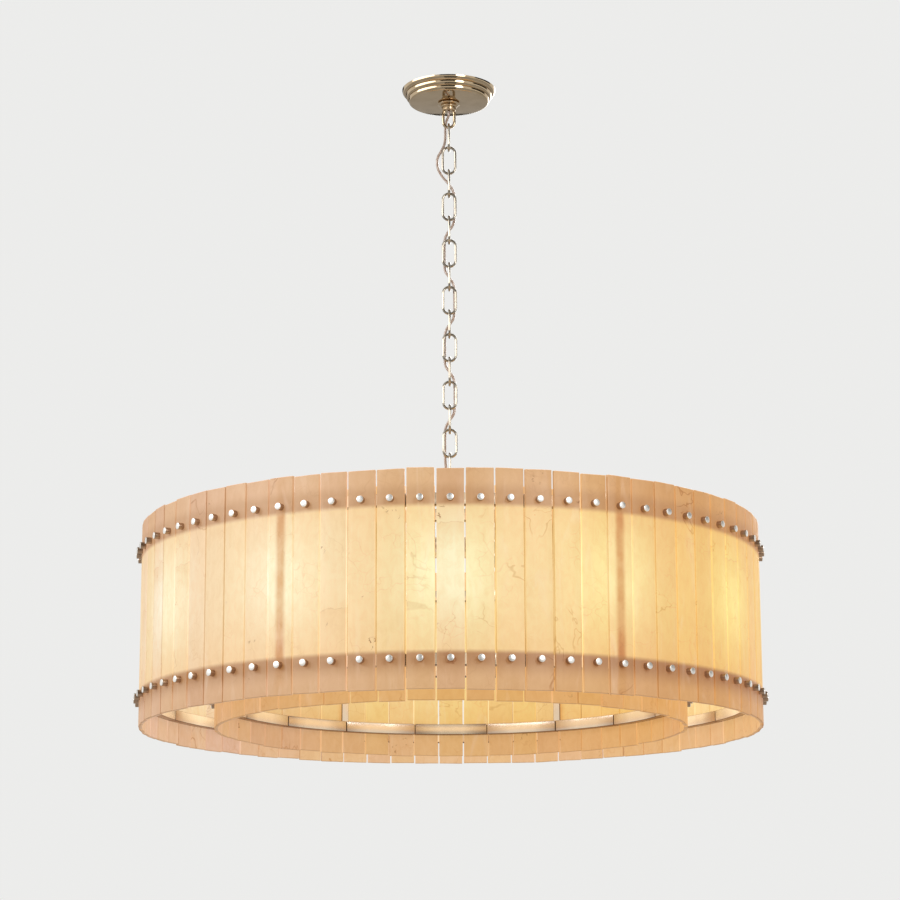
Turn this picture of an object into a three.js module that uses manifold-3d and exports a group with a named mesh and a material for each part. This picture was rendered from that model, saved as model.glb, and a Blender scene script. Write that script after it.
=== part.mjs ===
// Chandelier of two round drums of alabaster tiles, hung from the ceiling on a chain.
// Millimetres, +Z up. The origin lies on the ceiling, on the axis. The front faces -Y.
import * as THREE from 'three';
import { mergeVertices } from 'three/addons/utils/BufferGeometryUtils.js';
import Module from 'manifold-3d';

const wasm = await Module();
wasm.setup();

// Fits
const seatGap = 0.3;
const slideGap = 0.6;
const boreGap = 0.5;
const overrun = 5;

// Canopy and what holds it
const canopyRadius = 96;
const canopyDepth = 28;
const canopyPlateRadius = 79.5;
const canopyWall = 1.5;
const canopyLedge = 1.6;
const canopyMouldings = 3;
const canopySides = 32;
const bracketLength = 118;
const bracketWidth = 24;
const bracketThick = 3;
const bossRadius = 9;
const bossDepth = 11;

// Eyes that carry the chain, one under the canopy and one over the drums
const eyeWidth = 28.7;
const eyeLength = 46;
const eyeWire = 6;
const eyeShoulder = 7.4;
const barrelSides = 16;
const collarRadius = 22.5;
const collarRingRadius = 17;
const collarFlangeThick = 4.5;
const collarRingThick = 5.5;
const collarBevel = 1.2;
const collarSides = 24;

// Chain
const linkLength = 62;
const linkWidth = 31;
const linkWire = 6;
const linkCount = 15;
const wireSides = 6;
const bendSteps = 12;

// Supply cord
const cordDiameter = 5.5;
const cordSides = 8;
const cordSteps = 72;

// Drums
const outerFaceRadius = 610;
const drumSpacing = 147;
const outerTileCount = 72;
const innerTileCount = 54;
const panelCount = 6;
const tileGap = 3.8;
const tileThick = 7;
const tileHeight = 398;
const studInset = 55.5;
const eyeToStuds = 168;
const keyHeight = 12;
const keyThick = 3;
const keyBite = 1.5;

// Rings, posts and studs
const ringHeight = 22;
const ringDepth = 18;
const postWidth = 15;
const postThick = 4;
const postCount = 6;
const shankWidth = 4.4;
const headRadius = 6.4;
const headLength = 11.5;
const headSides = 6;

// Hub and arms
const hubRadius = 42;
const hubTopRise = 2.5;
const hubBottomDrop = 8;
const stemRadius = 9;
const stemSides = 12;
const armThick = 2.6;
const armHeight = 24;
const nutRadius = 15;
const nutHeight = 16;

// Lamps
const lampPlaceShare = 0.55;
const lampCount = 12;
const lampRingWidth = 24;
const lampRingThick = 6;
const lampRingSides = 36;
const rodRadius = 5;
const rodLength = 66;
const holderRadius = 13;
const holderLength = 48;
const lampSides = 8;
const bulbLength = 92;
const bulbRadius = 17.5;

// Places that follow from the sizes
const fullTurn = Math.PI * 2;
const postStart = Math.PI / postCount;
const innerFaceRadius = outerFaceRadius - drumSpacing;
const barrelRadius = eyeWidth / 2;
const collarTop = -canopyDepth - seatGap;
const collarBottom = collarTop - collarFlangeThick - collarRingThick;
const eyeTop = collarBottom;
const eyeBottom = eyeTop - eyeLength;
const bossBottom = -bossDepth - bracketThick;
const firstBarZ = eyeBottom + eyeWire / 2 + (eyeWire + linkWire) / 2 + seatGap;
const linkReach = (linkLength - linkWire) / 2;
const linkPitch = 2 * linkReach - linkWire - seatGap;
const firstLinkZ = firstBarZ - linkReach;
const lastLinkZ = firstLinkZ - (linkCount - 1) * linkPitch;
const drumEyeTop = lastLinkZ - linkReach + (linkWire + eyeWire) / 2 + seatGap + eyeWire / 2;
const topStudZ = drumEyeTop - eyeToStuds;
const tileTop = topStudZ + studInset;
const bottomStudZ = tileTop - tileHeight + studInset;
const tileMid = tileTop - tileHeight / 2;
const ringTop = topStudZ + ringHeight / 2;
const armBottom = ringTop + seatGap;
const armTop = armBottom + armHeight;
const hubTop = armTop + hubTopRise;
const hubBottom = armBottom - hubBottomDrop;
const lampGap = outerFaceRadius - tileThick - seatGap - ringDepth - innerFaceRadius;
const lampRadius = innerFaceRadius + lampPlaceShare * lampGap;
const lampRingTop = armBottom - seatGap;
const holderTop = lampRingTop - lampRingThick - rodLength;
const bulbTop = holderTop - holderLength - seatGap;

// The drums: the inner one's studs are left out
const outerDrum = {
  name: 'outer', face: outerFaceRadius, tiles: outerTileCount, studRows: [topStudZ, bottomStudZ],
};
const innerDrum = { name: 'inner', face: innerFaceRadius, tiles: innerTileCount, studRows: [] };

// Materials
const nickel = new THREE.MeshStandardMaterial({ color: 0xc9b79c, roughness: 0.14, metalness: 1 });
const steel = new THREE.MeshStandardMaterial({ color: 0x8d8a86, roughness: 0.45, metalness: 1 });
const outerStone = new THREE.MeshStandardMaterial({ color: 0xf0d9b5, roughness: 0.4, metalness: 0 });
const innerStone = new THREE.MeshStandardMaterial({ color: 0xe2b67c, roughness: 0.4, metalness: 0 });
const jacket = new THREE.MeshStandardMaterial({ color: 0xcdb09c, roughness: 0.25, metalness: 0 });
const frosted = new THREE.MeshStandardMaterial({ color: 0xfff0cf, roughness: 0.3, metalness: 0 });

const chandelier = new THREE.Group();

function addPiece(name, geometry, material) {
  const mesh = new THREE.Mesh(geometry, material);
  mesh.name = name;
  chandelier.add(mesh);
  return mesh;
}

// Solids and what turns them into geometry
function solidOf(geometry) {
  const bare = geometry.index ? geometry.toNonIndexed() : geometry.clone();
  bare.deleteAttribute('normal');
  bare.deleteAttribute('uv');
  const merged = mergeVertices(bare);
  return new wasm.Manifold(new wasm.Mesh({
    numProp: 3,
    vertProperties: new Float32Array(merged.attributes.position.array),
    triVerts: new Uint32Array(merged.index.array),
  }));
}

function geometryOf(solid) {
  const mesh = solid.getMesh();
  const geometry = new THREE.BufferGeometry();
  geometry.setAttribute('position', new THREE.BufferAttribute(new Float32Array(mesh.vertProperties), 3));
  geometry.setIndex(new THREE.BufferAttribute(new Uint32Array(mesh.triVerts), 1));
  return geometry;
}

function boxAt(width, depth, height, x, y, z) {
  return new THREE.BoxGeometry(width, depth, height).translate(x, y, z);
}

// A turned shape about Z. Its points are [radius, z], with the solid on the left of their order.
function turned(points, sides) {
  const profile = points.map(([radius, z]) => new THREE.Vector2(radius, z));
  return new THREE.LatheGeometry(profile, sides).rotateX(Math.PI / 2);
}

function turnedRod(radius, top, bottom, sides) {
  return turned([[0, bottom], [radius, bottom], [radius, top], [0, top]], sides);
}

// A ring of flat sides. The radii reach to the middles of its sides, and one side faces the front.
function flatSidedRing(innerReach, outerReach, height, sides, midZ) {
  const spread = 1 / Math.cos(Math.PI / sides);
  const inner = innerReach * spread;
  const outer = outerReach * spread;
  const low = midZ - height / 2;
  const high = midZ + height / 2;
  const points = [[inner, low], [outer, low], [outer, high], [inner, high], [inner, low]];
  return turned(points, sides).rotateZ(Math.PI / sides);
}

// An upright oval of round wire in the XZ plane: a ring drawn apart where its sides are straight.
function wireOval(length, width, wire) {
  const bend = (width - wire) / 2;
  const straight = length - width;
  const ring = new THREE.TorusGeometry(bend / Math.cos(Math.PI / bendSteps), wire / 2, wireSides, bendSteps);
  ring.rotateZ(Math.PI / bendSteps);
  const places = ring.attributes.position;
  for (let i = 0; i < places.count; i += 1) {
    places.setY(i, places.getY(i) + Math.sign(places.getY(i)) * straight / 2);
  }
  return ring.rotateX(Math.PI / 2);
}

// Ceiling bracket, canopy, collar and upper eye
function makeBracket() {
  const bar = solidOf(boxAt(bracketLength, bracketWidth, bracketThick, 0, 0, -bracketThick / 2));
  const boss = solidOf(turnedRod(bossRadius, -bracketThick / 2, bossBottom, barrelSides));
  return geometryOf(bar.add(boss));
}

// One rounded moulding: a quarter round that falls from an outer radius to a lower, smaller one.
function mouldingPoints(radius, step, top, depth) {
  const turns = [0, 1, 2, 3];
  return turns.map((turn) => {
    const angle = (turn / (turns.length - 1)) * Math.PI / 2;
    return [radius - step * (1 - Math.cos(angle)), top - depth * Math.sin(angle)];
  });
}

function canopyProfile() {
  const depth = canopyDepth / canopyMouldings;
  const fall = (canopyRadius - canopyPlateRadius) / canopyMouldings;
  const outside = [];
  for (let i = 0; i < canopyMouldings; i += 1) {
    const ledge = i === 0 ? 0 : canopyLedge;
    outside.push(...mouldingPoints(canopyRadius - i * fall - ledge, fall - ledge, -i * depth, depth));
  }
  const hole = barrelRadius + slideGap;
  const floor = -canopyDepth + canopyWall;
  const inside = canopyPlateRadius - canopyLedge - canopyWall;
  const rim = canopyRadius - canopyLedge - canopyWall;
  const neck = rim - fall - canopyLedge;
  return [
    [hole, floor], [hole, -canopyDepth], ...outside.reverse(),
    [rim, 0], [neck, -depth], [inside, -2 * depth], [inside, floor], [hole, floor],
  ];
}

function collarProfile() {
  const bore = barrelRadius + seatGap;
  const step = collarTop - collarFlangeThick;
  return [
    [bore, collarBottom], [collarRingRadius - collarBevel, collarBottom],
    [collarRingRadius, collarBottom + collarBevel], [collarRingRadius, step],
    [collarRadius - collarBevel, step], [collarRadius, step + collarBevel],
    [collarRadius, collarTop], [bore, collarTop], [bore, collarBottom],
  ];
}

// An eye on a round barrel: the wire hangs from the barrel's end, with its top sunk in it.
function makeEye(barrelTop, radius) {
  const oval = solidOf(wireOval(eyeLength, eyeWidth, eyeWire).translate(0, 0, eyeTop - eyeLength / 2));
  const barrel = solidOf(turnedRod(radius, barrelTop, eyeTop - eyeShoulder, barrelSides));
  return geometryOf(oval.add(barrel));
}

// Drums, in pieces that are modelled at the front and turned about the axis
function turnedTo(geometry, angle) {
  return solidOf(geometry.clone().rotateZ(angle));
}

function tileWidth(drum) {
  return 2 * drum.face * Math.tan(Math.PI / drum.tiles) - tileGap;
}

// A tile, with a hole for each stud where the drum's studs pass through it
function makeTile(drum) {
  const middle = -(drum.face - tileThick / 2);
  let tile = solidOf(boxAt(tileWidth(drum), tileThick, tileHeight, 0, middle, tileMid));
  const hole = shankWidth + 2 * boreGap;
  for (const z of drum.studRows) {
    tile = tile.subtract(solidOf(boxAt(hole, tileThick + overrun, hole, 0, middle, z)));
  }
  return geometryOf(tile);
}

// A key that joins two neighbouring tiles across their gap, behind their faces
function makeKey(drum) {
  const halfStep = Math.PI / drum.tiles;
  const back = (drum.face - tileThick) / Math.cos(halfStep) + seatGap;
  return boxAt(tileGap + 2 * keyBite, keyThick, keyHeight, 0, -back - keyThick / 2, topStudZ);
}

function makePanel(drum, firstAngle) {
  const step = fullTurn / drum.tiles;
  const count = drum.tiles / panelCount;
  const tile = makeTile(drum);
  const key = makeKey(drum);
  let panel = turnedTo(tile, firstAngle);
  for (let i = 1; i < count; i += 1) {
    panel = panel.add(turnedTo(key, firstAngle + (i - 1 / 2) * step));
    panel = panel.add(turnedTo(tile, firstAngle + i * step));
  }
  return geometryOf(panel);
}

// How far out the flat sides of a drum's rings reach, behind its tiles
function ringFace(drum) {
  return drum.face - tileThick - seatGap;
}

// A stud reaches from inside the ring, through the tile, to its round head
function makeStud(drum, z) {
  const headBack = drum.face + seatGap;
  const inner = ringFace(drum) - ringDepth / 2;
  const shankLength = headBack - inner + headLength / 2;
  const shank = solidOf(boxAt(shankWidth, shankLength, shankWidth, 0, -inner - shankLength / 2, z));
  const head = new THREE.CylinderGeometry(headRadius, headRadius, headLength, headSides);
  return geometryOf(shank.add(solidOf(head.translate(0, -headBack - headLength / 2, z))));
}

function makeRing(drum, z, withPosts) {
  const face = ringFace(drum);
  let ring = solidOf(flatSidedRing(face - ringDepth, face, ringHeight, drum.tiles, z));
  if (drum.studRows.includes(z)) {
    const stud = makeStud(drum, z);
    for (let i = 0; i < drum.tiles; i += 1) {
      ring = ring.add(turnedTo(stud, i * fullTurn / drum.tiles));
    }
  }
  if (withPosts) {
    const top = ringTop - ringHeight - seatGap;
    const height = top - z;
    const post = boxAt(postWidth, postThick, height, 0, -(face - ringDepth / 2), top - height / 2);
    for (let i = 0; i < postCount; i += 1) {
      ring = ring.add(turnedTo(post, postStart + i * fullTurn / postCount));
    }
  }
  return geometryOf(ring);
}

// Hub, with a flat side behind each arm, on the stem of the lower eye
function makeHub() {
  const height = hubTop - hubBottom;
  return flatSidedRing(stemRadius + seatGap, hubRadius, height, stemSides, hubTop - height / 2);
}

// An arm is an upright blade that lies on both top rings and passes through a gap of the inner drum
function makeArm() {
  const start = hubRadius + seatGap;
  const length = ringFace(outerDrum) - start;
  return boxAt(armThick, length, armHeight, 0, -start - length / 2, (armTop + armBottom) / 2);
}

function makeNut() {
  const top = hubBottom - seatGap;
  return turned([
    [0, top - nutHeight], [nutRadius / 2, top - nutHeight], [nutRadius, top - nutHeight / 2],
    [nutRadius, top], [0, top],
  ], stemSides);
}

// Lamp ring under the arms, with a rod and a holder for each bulb
function makeLampRing() {
  const inner = lampRadius - lampRingWidth / 2;
  const outer = lampRadius + lampRingWidth / 2;
  const midZ = lampRingTop - lampRingThick / 2;
  let ring = solidOf(flatSidedRing(inner, outer, lampRingThick, lampRingSides, midZ));
  const rod = turnedRod(rodRadius, midZ, holderTop - holderLength / 2, lampSides);
  const holder = turnedRod(holderRadius, holderTop, holderTop - holderLength, lampSides);
  const lamp = geometryOf(solidOf(rod).add(solidOf(holder))).translate(0, -lampRadius, 0);
  for (let i = 0; i < lampCount; i += 1) {
    ring = ring.add(turnedTo(lamp, i * fullTurn / lampCount));
  }
  return geometryOf(ring);
}

// Outline of a bulb, as shares of its radius and length
const bulbShares = [[0, -1], [0.36, -0.91], [0.8, -0.7], [1, -0.43], [0.64, -0.15], [0.64, 0], [0, 0]];

function makeBulb() {
  const points = bulbShares.map(([out, down]) => [out * bulbRadius, down * bulbLength]);
  return turned(points, lampSides);
}

// Supply cord: from the upper eye's barrel, out behind the eye, round the second link on its left,
// then through the opening of every side-on link, and into the lower eye's barrel.
const cordPoints = [
  [0, 0, -46.1], [0, 1, -52], [-2.5, 4.5, -60], [-5.8, 7.2, -68], [-7.2, 7.6, -77], [-7.6, 7.6, -92],
  [-8, 7.2, -106], [-10.5, 7, -119], [-17, 7, -132], [-23, 7, -144], [-24.5, 7, -156], [-22.5, 7, -168],
  [-16, 7.4, -181], [-9, 7, -191], [0, 3.5, -203], [8, 7, -216], [11.5, 7.8, -232], [12, 7.8, -252],
  [11, 7.8, -271], [8, 7, -288], [0, 3.5, -302], [-8, 7, -316], [-10, 7.8, -334], [-10, 7.8, -352],
  [-10, 7.8, -370], [-8, 7, -388], [0, 3.5, -401.5], [8, 7, -415], [10, 7.8, -433], [10, 7.8, -451],
  [10, 7.8, -469], [8, 7, -487], [0, 3.5, -501], [-8, 7, -515], [-10, 7.8, -533], [-10, 7.8, -551],
  [-10, 7.8, -569], [-8, 7, -587], [0, 3.5, -600.5], [8, 7, -614], [10, 7.8, -632], [10, 7.8, -650],
  [10, 7.8, -668], [8, 7, -686], [0, 3.5, -700], [-8, 7, -714], [-10, 7.8, -732], [-10, 7.8, -750],
  [-10, 7.8, -770], [-9, 7.8, -790], [-8, 7.8, -810], [-7.4, 7.6, -825], [-5, 5.6, -837], [-1.4, 1.8, -845],
  [0, 0.2, -851], [0, 0, -855.8],
];

function makeCord() {
  const section = [];
  for (let i = 0; i < cordSides; i += 1) {
    const angle = i * fullTurn / cordSides;
    section.push(new THREE.Vector2(Math.cos(angle) * cordDiameter / 2, Math.sin(angle) * cordDiameter / 2));
  }
  const route = new THREE.CatmullRomCurve3(cordPoints.map((point) => new THREE.Vector3(...point)));
  return new THREE.ExtrudeGeometry(new THREE.Shape(section), { steps: cordSteps, extrudePath: route });
}

// The ceiling group
addPiece('ceiling_bracket', makeBracket(), steel);
addPiece('canopy', turned(canopyProfile(), canopySides), nickel);
addPiece('canopy_collar', turned(collarProfile(), collarSides), nickel);
addPiece('canopy_eye', makeEye(bossBottom - seatGap, barrelRadius), nickel);

// The chain, with every second link face on
const link = wireOval(linkLength, linkWidth, linkWire);
for (let i = 0; i < linkCount; i += 1) {
  const mesh = addPiece('chain_link_' + String(i + 1).padStart(2, '0'), link, nickel);
  mesh.position.z = firstLinkZ - i * linkPitch;
  mesh.rotation.z = i % 2 === 0 ? Math.PI / 2 : 0;
}
addPiece('supply_cord', makeCord(), jacket);

// The drums
for (const drum of [outerDrum, innerDrum]) {
  const stone = drum === outerDrum ? outerStone : innerStone;
  const step = fullTurn / drum.tiles;
  const first = -Math.floor(drum.tiles / panelCount / 2) * step;
  for (let i = 0; i < panelCount; i += 1) {
    const panel = makePanel(drum, first + i * fullTurn / panelCount);
    addPiece(drum.name + '_tile_panel_' + (i + 1), panel, stone);
  }
  addPiece(drum.name + '_top_ring', makeRing(drum, topStudZ, false), nickel);
  addPiece(drum.name + '_bottom_ring', makeRing(drum, bottomStudZ, true), nickel);
}

// The lower eye, the hub and its arms
const drumEye = makeEye(eyeTop + (drumEyeTop - eyeLength) - hubBottom, stemRadius).rotateX(Math.PI);
addPiece('drum_eye', drumEye.translate(0, 0, drumEyeTop - eyeLength + eyeTop), nickel);
addPiece('hub', makeHub(), nickel);
addPiece('hub_nut', makeNut(), nickel);
for (let i = 0; i < postCount; i += 1) {
  const arm = addPiece('arm_' + (i + 1), makeArm(), nickel);
  arm.rotation.z = postStart + i * fullTurn / postCount;
}

// The lamps
addPiece('lamp_ring', makeLampRing(), nickel);
for (let i = 0; i < lampCount; i += 1) {
  const angle = i * fullTurn / lampCount;
  const bulb = addPiece('bulb_' + String(i + 1).padStart(2, '0'), makeBulb(), frosted);
  bulb.position.set(lampRadius * Math.sin(angle), -lampRadius * Math.cos(angle), bulbTop);
}

export default chandelier;
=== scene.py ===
import math
import random

import bmesh
import bpy
from mathutils import Matrix, Vector, noise


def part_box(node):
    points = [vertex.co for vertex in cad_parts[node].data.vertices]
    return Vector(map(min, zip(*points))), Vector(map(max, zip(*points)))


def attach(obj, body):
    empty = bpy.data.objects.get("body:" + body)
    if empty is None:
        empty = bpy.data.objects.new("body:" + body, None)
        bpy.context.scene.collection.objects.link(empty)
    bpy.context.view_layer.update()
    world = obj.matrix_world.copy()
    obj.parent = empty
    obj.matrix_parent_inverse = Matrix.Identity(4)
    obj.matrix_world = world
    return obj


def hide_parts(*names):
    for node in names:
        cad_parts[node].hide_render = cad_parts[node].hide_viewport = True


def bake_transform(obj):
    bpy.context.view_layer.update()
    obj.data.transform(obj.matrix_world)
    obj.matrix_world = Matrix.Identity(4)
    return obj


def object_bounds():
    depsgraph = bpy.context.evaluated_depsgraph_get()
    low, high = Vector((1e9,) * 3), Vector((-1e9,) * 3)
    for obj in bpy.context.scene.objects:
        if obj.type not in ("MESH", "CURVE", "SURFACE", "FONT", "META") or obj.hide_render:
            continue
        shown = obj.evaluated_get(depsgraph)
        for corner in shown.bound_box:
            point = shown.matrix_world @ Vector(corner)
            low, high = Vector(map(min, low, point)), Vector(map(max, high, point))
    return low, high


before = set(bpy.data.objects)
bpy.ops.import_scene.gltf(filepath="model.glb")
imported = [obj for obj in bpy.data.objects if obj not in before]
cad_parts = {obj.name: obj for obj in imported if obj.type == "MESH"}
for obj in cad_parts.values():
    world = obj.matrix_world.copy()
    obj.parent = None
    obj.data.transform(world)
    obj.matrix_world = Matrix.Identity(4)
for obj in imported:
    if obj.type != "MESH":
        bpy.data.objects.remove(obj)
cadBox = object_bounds()
scene = bpy.context.scene
scene.view_settings.view_transform = "Standard"


# camera, low in front of the drums and looking up at them
cameraLook = {
    "distance": 5.379, "height": -1.967, "tilt": 12.62, "roll": -0.2, "lens": 109.78, "clipEnd": 60,
}


def addCamera():
    camera = bpy.data.objects.new("camera", bpy.data.cameras.new("camera"))
    scene.collection.objects.link(camera)
    place = Matrix.Translation((0, -cameraLook["distance"], cameraLook["height"]))
    turn = Matrix.Rotation(math.radians(90 + cameraLook["tilt"]), 4, "X")
    roll = Matrix.Rotation(math.radians(cameraLook["roll"]), 4, "Z")
    camera.matrix_world = place @ turn @ roll
    camera.data.lens = cameraLook["lens"]
    camera.data.clip_end = cameraLook["clipEnd"]
    scene.camera = camera
    print("camera done")


# studio: a pale surround with dark flags, a pale floor, a dark card and soft lamps
studioLook = {
    "surround": (0.84, 0.84, 0.83, 1), "ambient": 0.56,
    "flags": [(8, 30), (94, 27), (-172, 28)],  # middle and half width in degrees
    "flagTone": (0.035, 0.034, 0.032, 1), "flagEdge": 4,
    "highFlag": (0.06, 0.14), "lowFlag": (-0.30, -0.10), "lowFlagEdge": 0.03,
    "lamps": [  # place, width, height, power
        ((-4.6, -2.0, 0.9), 6.4, 2.0, 112),
        ((2.6, -4.8, 0.5), 2.2, 2.2, 75),
        ((1.2, 4.8, 1.2), 3.0, 3.0, 100),
    ],
    "aim": (0, 0, -0.9),
}
floorLook = {
    "drop": 5.6, "size": 90, "colour": (0.8, 0.795, 0.785, 1), "second": (0.83, 0.825, 0.815, 1),
    "cloudScale": 1.5, "roughness": 0.85, "pale": 0.8, "paleMirrored": 0.1,
}
cardLook = {
    "place": (0.3, -3.4, -2.25), "width": 2.0, "height": 2.3, "second": (0.02, 0.02, 0.02, 1),
    "cloudScale": 3, "roughness": 0.9,
}


def addStudio():
    addSurround()
    addFloor()
    addDarkCard()
    addSoftLamps()
    print("studio done")


def addSurround():  # what is seen and mirrored is brighter than what lights the object
    world = bpy.data.worlds.new("surround")
    scene.world = world
    world.use_nodes = True
    tree = world.node_tree
    path = tree.nodes.new("ShaderNodeLightPath")
    direct = calc(tree, "MAXIMUM", path.outputs["Is Camera Ray"], path.outputs["Is Glossy Ray"])
    direct = calc(tree, "MAXIMUM", direct, path.outputs["Is Transmission Ray"])
    flags = calc(tree, "MULTIPLY", studioFlags(tree), path.outputs["Is Glossy Ray"])
    seen = tree.nodes["Background"]
    plug(tree, seen.inputs["Color"], mixed(tree, flags, studioLook["surround"], studioLook["flagTone"]))
    felt = tree.nodes.new("ShaderNodeBackground")
    felt.inputs["Color"].default_value = studioLook["surround"]
    felt.inputs["Strength"].default_value = studioLook["ambient"]
    plug(tree, tree.nodes["World Output"].inputs["Surface"], mixedShader(tree, direct, felt, seen))


def studioFlags(tree):  # dark flags round the object, which only show as streaks in polished metal
    x, y, z = coordinates(tree, tree.nodes.new("ShaderNodeTexCoord").outputs["Generated"])
    turn = bearing(tree, x, y)
    edge = studioLook["flagEdge"]
    across = 0
    for middle, reach in studioLook["flags"]:
        aside = calc(tree, "COSINE", calc(tree, "SUBTRACT", turn, math.radians(middle)))
        edges = math.cos(math.radians(reach + edge)), math.cos(math.radians(reach - edge))
        across = calc(tree, "MAXIMUM", across, ramp(tree, aside, *edges))
    high = ramp(tree, z, *studioLook["highFlag"])
    low, top = studioLook["lowFlag"]
    edge = studioLook["lowFlagEdge"]
    level = calc(tree, "MULTIPLY", ramp(tree, z, low - edge, low), ramp(tree, z, top + edge, top))
    return calc(tree, "MULTIPLY", across, calc(tree, "MAXIMUM", high, level))


def addFloor():
    bm = bmesh.new()
    bmesh.ops.create_grid(bm, x_segments=1, y_segments=1, size=floorLook["size"] / 2)
    floor = newObject("floor", moved(bm, (0, 0, cadBox[0].z - floorLook["drop"])))
    floor.data.materials.append(floorMaterial())


def floorMaterial():  # as pale as the surround where it is seen, without lighting the object more
    material, tree, shader, place = startMaterial("paleFloor")
    tone = cloud(tree, place, floorLook["cloudScale"])
    colour = mixed(tree, tone, floorLook["colour"], floorLook["second"])
    plug(tree, shader.inputs["Base Color"], colour)
    shader.inputs["Roughness"].default_value = floorLook["roughness"]
    path = tree.nodes.new("ShaderNodeLightPath")
    share = calc(tree, "MAXIMUM", path.outputs["Is Camera Ray"], path.outputs["Is Transmission Ray"])
    share = calc(tree, "MULTIPLY", share, floorLook["pale"])
    mirrored = calc(tree, "MULTIPLY", path.outputs["Is Glossy Ray"], floorLook["paleMirrored"])
    share = calc(tree, "MAXIMUM", share, mirrored)
    pale = tree.nodes.new("ShaderNodeEmission")
    plug(tree, pale.inputs["Color"], colour)
    plug(tree, tree.nodes["Material Output"].inputs["Surface"], mixedShader(tree, share, shader, pale))
    return material


def addDarkCard():  # in front of the drums, only there for the metal to mirror
    bm = bmesh.new()
    bmesh.ops.create_grid(bm, x_segments=1, y_segments=1, size=0.5)
    bmesh.ops.scale(bm, verts=bm.verts, vec=(cardLook["width"], cardLook["height"], 1))
    card = newObject("darkCard", moved(turnedTo(bm, 90, "X"), cardLook["place"]))
    card.data.materials.append(cardMaterial())
    card.visible_camera = card.visible_diffuse = card.visible_shadow = card.visible_transmission = False


def cardMaterial():
    material, tree, shader, place = startMaterial("darkCard")
    tone = cloud(tree, place, cardLook["cloudScale"])
    plug(tree, shader.inputs["Base Color"], mixed(tree, tone, studioLook["flagTone"], cardLook["second"]))
    shader.inputs["Roughness"].default_value = cardLook["roughness"]
    return material


def addSoftLamps():
    for i, (place, width, height, power) in enumerate(studioLook["lamps"]):
        lamp = bpy.data.lights.new("softLamp" + str(i + 1), "AREA")
        lamp.shape = "ELLIPSE"
        lamp.size = width
        lamp.size_y = height
        lamp.energy = power
        holder = bpy.data.objects.new(lamp.name, lamp)
        scene.collection.objects.link(holder)
        holder.visible_camera = False
        away = Vector(place) - Vector(studioLook["aim"])
        holder.matrix_world = Matrix.Translation(place) @ away.to_track_quat("Z", "Y").to_matrix().to_4x4()


# node helpers
def calc(tree, operation, *values, clamp=False):
    node = tree.nodes.new("ShaderNodeMath")
    node.operation = operation
    node.use_clamp = clamp
    for socket, value in zip(node.inputs, values):
        plug(tree, socket, value)
    return node.outputs[0]


def plug(tree, socket, value):
    if isinstance(value, bpy.types.NodeSocket):
        tree.links.new(value, socket)
    else:
        socket.default_value = value


def ramp(tree, value, start, end):  # 0 before start, 1 after end, smooth between them
    node = tree.nodes.new("ShaderNodeMapRange")
    node.interpolation_type = "SMOOTHSTEP"
    plug(tree, node.inputs["Value"], value)
    node.inputs["From Min"].default_value = start
    node.inputs["From Max"].default_value = end
    return node.outputs["Result"]


def squared(tree, value, reach):  # the square of a distance, 1 at its reach
    return calc(tree, "POWER", calc(tree, "DIVIDE", value, reach), 2)


def mixed(tree, share, first, second, how="MIX"):
    node = tree.nodes.new("ShaderNodeMix")
    node.data_type = "RGBA"
    node.blend_type = how
    node.clamp_factor = True
    plug(tree, node.inputs[0], share)
    plug(tree, node.inputs[6], first)
    plug(tree, node.inputs[7], second)
    return node.outputs[2]


def mixedShader(tree, share, first, second):
    node = tree.nodes.new("ShaderNodeMixShader")
    plug(tree, node.inputs[0], share)
    plug(tree, node.inputs[1], first.outputs[0])
    plug(tree, node.inputs[2], second.outputs[0])
    return node.outputs[0]


def coordinates(tree, place):
    split = tree.nodes.new("ShaderNodeSeparateXYZ")
    plug(tree, split.inputs[0], place)
    return split.outputs


def bearing(tree, x, y):  # the angle round the axis, 0 at the front and growing to the right
    return calc(tree, "ARCTAN2", x, calc(tree, "MULTIPLY", y, -1))


def cloud(tree, place, scale, detail=3, roughness=0.5, distortion=0):
    node = tree.nodes.new("ShaderNodeTexNoise")
    plug(tree, node.inputs["Vector"], place)
    node.inputs["Scale"].default_value = scale
    node.inputs["Detail"].default_value = detail
    node.inputs["Roughness"].default_value = roughness
    node.inputs["Distortion"].default_value = distortion
    return node.outputs["Fac"]


def stretched(tree, place, upright):  # a scale under 1 draws the pattern out along the height
    node = tree.nodes.new("ShaderNodeMapping")
    plug(tree, node.inputs["Vector"], place)
    node.inputs["Scale"].default_value = (1, 1, upright)
    return node.outputs["Vector"]


def bumped(tree, height, strength, distance):
    node = tree.nodes.new("ShaderNodeBump")
    plug(tree, node.inputs["Height"], height)
    node.inputs["Strength"].default_value = strength
    node.inputs["Distance"].default_value = distance
    return node.outputs["Normal"]


def attribute(tree, name, output="Fac"):
    node = tree.nodes.new("ShaderNodeAttribute")
    node.attribute_name = name
    return node.outputs[output]


def startMaterial(name):
    material = bpy.data.materials.new(name)
    material.use_nodes = True
    tree = material.node_tree
    place = tree.nodes.new("ShaderNodeTexCoord").outputs["Object"]
    return material, tree, tree.nodes["Principled BSDF"], place


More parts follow.
